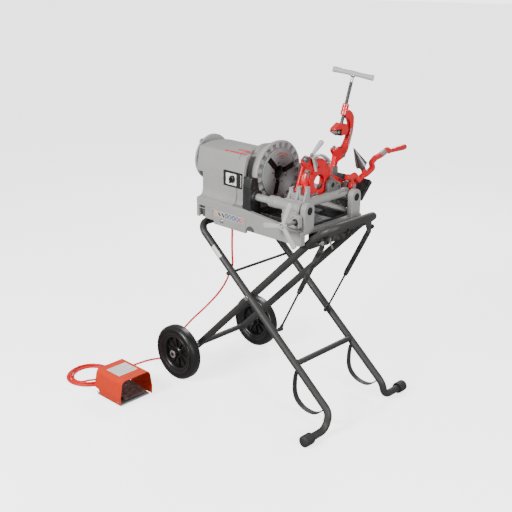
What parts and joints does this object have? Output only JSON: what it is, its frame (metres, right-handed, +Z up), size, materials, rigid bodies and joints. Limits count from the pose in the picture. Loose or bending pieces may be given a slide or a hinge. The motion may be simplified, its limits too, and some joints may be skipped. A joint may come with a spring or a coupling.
{
  "type": "pipe threading machine",
  "caption": "Motor-driven pipe threading machine with chuck, rails, carriage, cutter, die head and reamer, on a folding wheel stand, with a corded foot switch.",
  "frame": {"origin": "on the floor, at the centre of the box round the machine, stand and foot switch without the free cord and its coil", "axes": "+Z up; +X along the spindle from the motor end towards the carriage end; +Y away from the operator's side"},
  "size_m": [1.2272, 1.2201, 1.4102],
  "materials": {
    "light_grey_paint": "satin",
    "black_paint": "satin",
    "red_paint": "gloss",
    "orange_red_paint": "gloss",
    "machined_steel": "satin",
    "bright_steel": "gloss",
    "cast_grey": "rough",
    "dark_steel": "satin",
    "black_plastic": "matt",
    "white_plate": "satin",
    "black_rubber": "matt",
    "tyre_rubber": "matt",
    "cord_red": "gloss",
    "pedal_brown": "satin"
  },
  "bodies": {
    "machine": {"base_casting": "light_grey_paint", "drive_housing": "light_grey_paint", "chip_pan": "black_paint", "rail_front": "bright_steel", "rail_rear": "bright_steel", "rail_support": "black_paint", "rear_tray": "black_paint", "motor": "cast_grey", "switch_plate": "white_plate", "mounting_plate": "black_paint", "support_cradle": "black_paint", "foot_switch_guard": "orange_red_paint", "foot_switch_base": "machined_steel", "cord_gland": "black_rubber", "foot_switch_cord": "cord_red", "cord_coil": "cord_red"},
    "spindle": {"spindle": "machined_steel", "drive_gear": "machined_steel", "chuck_body": "machined_steel"},
    "hammer_wheel": {"hammer_wheel": "light_grey_paint"},
    "rear_centring_wheel": {"rear_centring_wheel": "light_grey_paint"},
    "motor_pinion": {"motor_pinion": "machined_steel"},
    "jaw_1": {"jaw_1": "dark_steel"},
    "jaw_2": {"jaw_2": "dark_steel"},
    "jaw_3": {"jaw_3": "dark_steel"},
    "carriage": {"carriage": "light_grey_paint", "tool_shaft": "bright_steel"},
    "feed_handwheel": {"feed_handwheel": "light_grey_paint"},
    "cutter": {"cutter_arm": "cast_grey", "cutter_frame": "red_paint"},
    "cutter_screw": {"cutter_screw": "bright_steel"},
    "cutter_slide": {"cutter_slide": "red_paint"},
    "cutter_roller_1": {"cutter_roller_1": "bright_steel"},
    "cutter_roller_2": {"cutter_roller_2": "bright_steel"},
    "cutter_wheel": {"cutter_wheel": "machined_steel"},
    "die_head": {"die_head_body": "red_paint"},
    "die_head_lever": {"die_head_lever": "bright_steel"},
    "thread_die_1": {"thread_die_1": "machined_steel"},
    "thread_die_2": {"thread_die_2": "machined_steel"},
    "thread_die_3": {"thread_die_3": "machined_steel"},
    "thread_die_4": {"thread_die_4": "machined_steel"},
    "reamer_arm": {"reamer_arm": "red_paint"},
    "reamer_cone": {"reamer_cone": "dark_steel"},
    "switch_knob": {"switch_knob": "black_plastic"},
    "clamp_bolt_near": {"clamp_bolt_near": "bright_steel"},
    "clamp_bolt_far": {"clamp_bolt_far": "bright_steel"},
    "foot_pedal": {"foot_pedal": "pedal_brown"},
    "wheel_frame": {"wheel_frame": "black_paint", "axle": "machined_steel"},
    "leg_frame": {"leg_frame": "black_paint", "foot_cap_near": "black_rubber", "foot_cap_far": "black_rubber"},
    "wheel_near": {"wheel_rim_near": "black_paint", "tyre_near": "tyre_rubber"},
    "wheel_far": {"wheel_rim_far": "black_paint", "tyre_far": "tyre_rubber"},
    "gas_cylinder_near": {"gas_cylinder_near": "black_paint"},
    "gas_rod_near": {"gas_rod_near": "dark_steel"},
    "gas_cylinder_far": {"gas_cylinder_far": "black_paint"},
    "gas_rod_far": {"gas_rod_far": "dark_steel"}
  },
  "joints": [
    {"name": "stand_fold", "type": "hinge", "parent": "machine", "child": "wheel_frame", "pos_m": [0.3259, 0.05717, 0.787], "axis": [0, 1, 0], "range_deg": [0, 34], "stiffness_Nm_per_rad": 550, "springref_deg": -171.89, "deforming": ["foot_switch_cord"]},
    {"name": "leg_fold", "type": "hinge", "parent": "wheel_frame", "child": "leg_frame", "pos_m": [0.0161, 0.05717, 0.4653], "axis": [0, 1, 0], "range_deg": [-69.56, 0]},
    {"name": "gas_cylinder_near_swing", "type": "hinge", "parent": "wheel_frame", "child": "gas_cylinder_near", "pos_m": [0.3859, -0.09583, 0.792], "axis": [0, 1, 0], "range_deg": [0, 18.1]},
    {"name": "gas_rod_near_stroke", "type": "slide", "parent": "gas_cylinder_near", "child": "gas_rod_near", "axis": [-0.4421, 0, -0.897], "range_m": [-0.1791, 0]},
    {"name": "gas_cylinder_far_swing", "type": "hinge", "parent": "wheel_frame", "child": "gas_cylinder_far", "pos_m": [0.3859, 0.21017, 0.792], "axis": [0, 1, 0], "range_deg": [0, 18.1]},
    {"name": "gas_rod_far_stroke", "type": "slide", "parent": "gas_cylinder_far", "child": "gas_rod_far", "axis": [-0.4421, 0, -0.897], "range_m": [-0.1791, 0]},
    {"name": "near_wheel_spin", "type": "hinge", "parent": "wheel_frame", "child": "wheel_near", "pos_m": [-0.3248, -0.22683, 0.127], "axis": [0, 1, 0], "continuous": true},
    {"name": "far_wheel_spin", "type": "hinge", "parent": "wheel_frame", "child": "wheel_far", "pos_m": [-0.3248, 0.28617, 0.127], "axis": [0, 1, 0], "continuous": true},
    {"name": "spindle_spin", "type": "hinge", "parent": "machine", "child": "spindle", "pos_m": [-0.0241, 0.05717, 0.977], "axis": [1, 0, 0], "continuous": true},
    {"name": "motor_pinion_spin", "type": "hinge", "parent": "machine", "child": "motor_pinion", "pos_m": [-0.1141, -0.03483, 0.915], "axis": [1, 0, 0], "continuous": true},
    {"name": "hammer_wheel_turn", "type": "hinge", "parent": "spindle", "child": "hammer_wheel", "pos_m": [-0.0091, 0.05717, 0.977], "axis": [1, 0, 0], "range_deg": [-290, 40]},
    {"name": "jaw_1_travel", "type": "slide", "parent": "spindle", "child": "jaw_1", "axis": [0, -0.7071, 0.7071], "range_m": [-0.0265, 0.004]},
    {"name": "jaw_2_travel", "type": "slide", "parent": "spindle", "child": "jaw_2", "axis": [0, 0.9659, 0.2588], "range_m": [-0.0265, 0.004]},
    {"name": "jaw_3_travel", "type": "slide", "parent": "spindle", "child": "jaw_3", "axis": [0, -0.2588, -0.9659], "range_m": [-0.0265, 0.004]},
    {"name": "rear_centring_wheel_turn", "type": "hinge", "parent": "spindle", "child": "rear_centring_wheel", "pos_m": [-0.3951, 0.05717, 0.977], "axis": [1, 0, 0], "range_deg": [-60, 60]},
    {"name": "carriage_travel", "type": "slide", "parent": "machine", "child": "carriage", "axis": [1, 0, 0], "range_m": [-0.062, 0]},
    {"name": "feed_handwheel_turn", "type": "hinge", "parent": "carriage", "child": "feed_handwheel", "pos_m": [0.2786, -0.17283, 0.863], "axis": [0, 1, 0], "range_deg": [-180, 2]},
    {"name": "cutter_swing", "type": "hinge", "parent": "carriage", "child": "cutter", "pos_m": [0.1759, 0.22517, 0.94], "axis": [1, 0, 0], "range_deg": [0, 77]},
    {"name": "cutter_screw_turn", "type": "hinge", "parent": "cutter", "child": "cutter_screw", "pos_m": [0.1609, 0.27937, 1.2149], "axis": [0, 0.3021, 0.9533], "range_deg": [-1080, 720]},
    {"name": "cutter_slide_feed", "type": "slide", "parent": "cutter", "child": "cutter_slide", "axis": [0, 0.3021, 0.9533], "range_m": [-0.0121, 0.0081]},
    {"name": "cutter_roller_1_spin", "type": "hinge", "parent": "cutter_slide", "child": "cutter_roller_1", "pos_m": [0.1609, 0.22267, 1.15], "axis": [1, 0, 0], "continuous": true},
    {"name": "cutter_roller_2_spin", "type": "hinge", "parent": "cutter_slide", "child": "cutter_roller_2", "pos_m": [0.1609, 0.24217, 1.148], "axis": [1, 0, 0], "continuous": true},
    {"name": "cutter_wheel_spin", "type": "hinge", "parent": "cutter", "child": "cutter_wheel", "pos_m": [0.1609, 0.22517, 1.0805], "axis": [1, 0, 0], "continuous": true},
    {"name": "die_head_swing", "type": "hinge", "parent": "carriage", "child": "die_head", "pos_m": [0.2059, 0.22517, 0.94], "axis": [1, 0, 0], "range_deg": [-95, 0]},
    {"name": "die_head_lever_turn", "type": "hinge", "parent": "die_head", "child": "die_head_lever", "pos_m": [0.2279, 0.05717, 0.977], "axis": [1, 0, 0], "range_deg": [-30, 5]},
    {"name": "thread_die_1_travel", "type": "slide", "parent": "die_head", "child": "thread_die_1", "axis": [0, -0.7071, 0.7071], "range_m": [-0.0016, 0.009]},
    {"name": "thread_die_2_travel", "type": "slide", "parent": "die_head", "child": "thread_die_2", "axis": [0, -0.7071, -0.7071], "range_m": [-0.0016, 0.009]},
    {"name": "thread_die_3_travel", "type": "slide", "parent": "die_head", "child": "thread_die_3", "axis": [0, 0.7071, -0.7071], "range_m": [-0.0016, 0.009]},
    {"name": "thread_die_4_travel", "type": "slide", "parent": "die_head", "child": "thread_die_4", "axis": [0, 0.7071, 0.7071], "range_m": [-0.0016, 0.009]},
    {"name": "reamer_arm_swing", "type": "hinge", "parent": "carriage", "child": "reamer_arm", "pos_m": [0.2659, 0.22517, 0.94], "axis": [1, 0, 0], "range_deg": [0, 50]},
    {"name": "reamer_cone_swivel", "type": "hinge", "parent": "reamer_arm", "child": "reamer_cone", "pos_m": [0.2659, 0.31367, 0.9749], "axis": [0, 0.9798, 0.2], "range_deg": [0, 70]},
    {"name": "switch_knob_turn", "type": "hinge", "parent": "machine", "child": "switch_knob", "pos_m": [-0.1061, -0.10833, 0.957], "axis": [0, 1, 0], "range_deg": [-45, 45]},
    {"name": "clamp_bolt_near_turn", "type": "hinge", "parent": "machine", "child": "clamp_bolt_near", "pos_m": [0.3009, -0.03883, 0.762], "axis": [1, 0, 0], "range_deg": [-40, 78]},
    {"name": "clamp_bolt_far_turn", "type": "hinge", "parent": "machine", "child": "clamp_bolt_far", "pos_m": [0.3009, 0.02617, 0.762], "axis": [1, 0, 0], "range_deg": [-40, 78]},
    {"name": "foot_pedal_press", "type": "hinge", "parent": "machine", "child": "foot_pedal", "pos_m": [-0.4181, -0.51133, 0.038], "axis": [0, 1, 0], "range_deg": [0, 5], "stiffness_Nm_per_rad": 4, "springref_deg": -20.05}
  ],
  "couplings": [
    {"joint": "leg_fold", "follows": "stand_fold", "ratio": -2.0431},
    {"joint": "gas_cylinder_near_swing", "follows": "stand_fold", "ratio": 0.53125},
    {"joint": "gas_rod_near_stroke", "follows": "stand_fold", "m_per_rad": -0.30121},
    {"joint": "gas_cylinder_far_swing", "follows": "stand_fold", "ratio": 0.53125},
    {"joint": "gas_rod_far_stroke", "follows": "stand_fold", "m_per_rad": -0.30121},
    {"joint": "motor_pinion_spin", "follows": "spindle_spin", "ratio": -1.6699},
    {"joint": "jaw_1_travel", "follows": "hammer_wheel_turn", "m_per_rad": 0.005},
    {"joint": "jaw_2_travel", "follows": "hammer_wheel_turn", "m_per_rad": 0.005},
    {"joint": "jaw_3_travel", "follows": "hammer_wheel_turn", "m_per_rad": 0.005},
    {"joint": "feed_handwheel_turn", "follows": "carriage_travel", "rad_per_m": 50},
    {"joint": "cutter_slide_feed", "follows": "cutter_screw_turn", "m_per_rad": 0.000637},
    {"joint": "thread_die_1_travel", "follows": "die_head_lever_turn", "m_per_rad": -0.0164},
    {"joint": "thread_die_2_travel", "follows": "die_head_lever_turn", "m_per_rad": -0.0164},
    {"joint": "thread_die_3_travel", "follows": "die_head_lever_turn", "m_per_rad": -0.0164},
    {"joint": "thread_die_4_travel", "follows": "die_head_lever_turn", "m_per_rad": -0.0164}
  ]
}
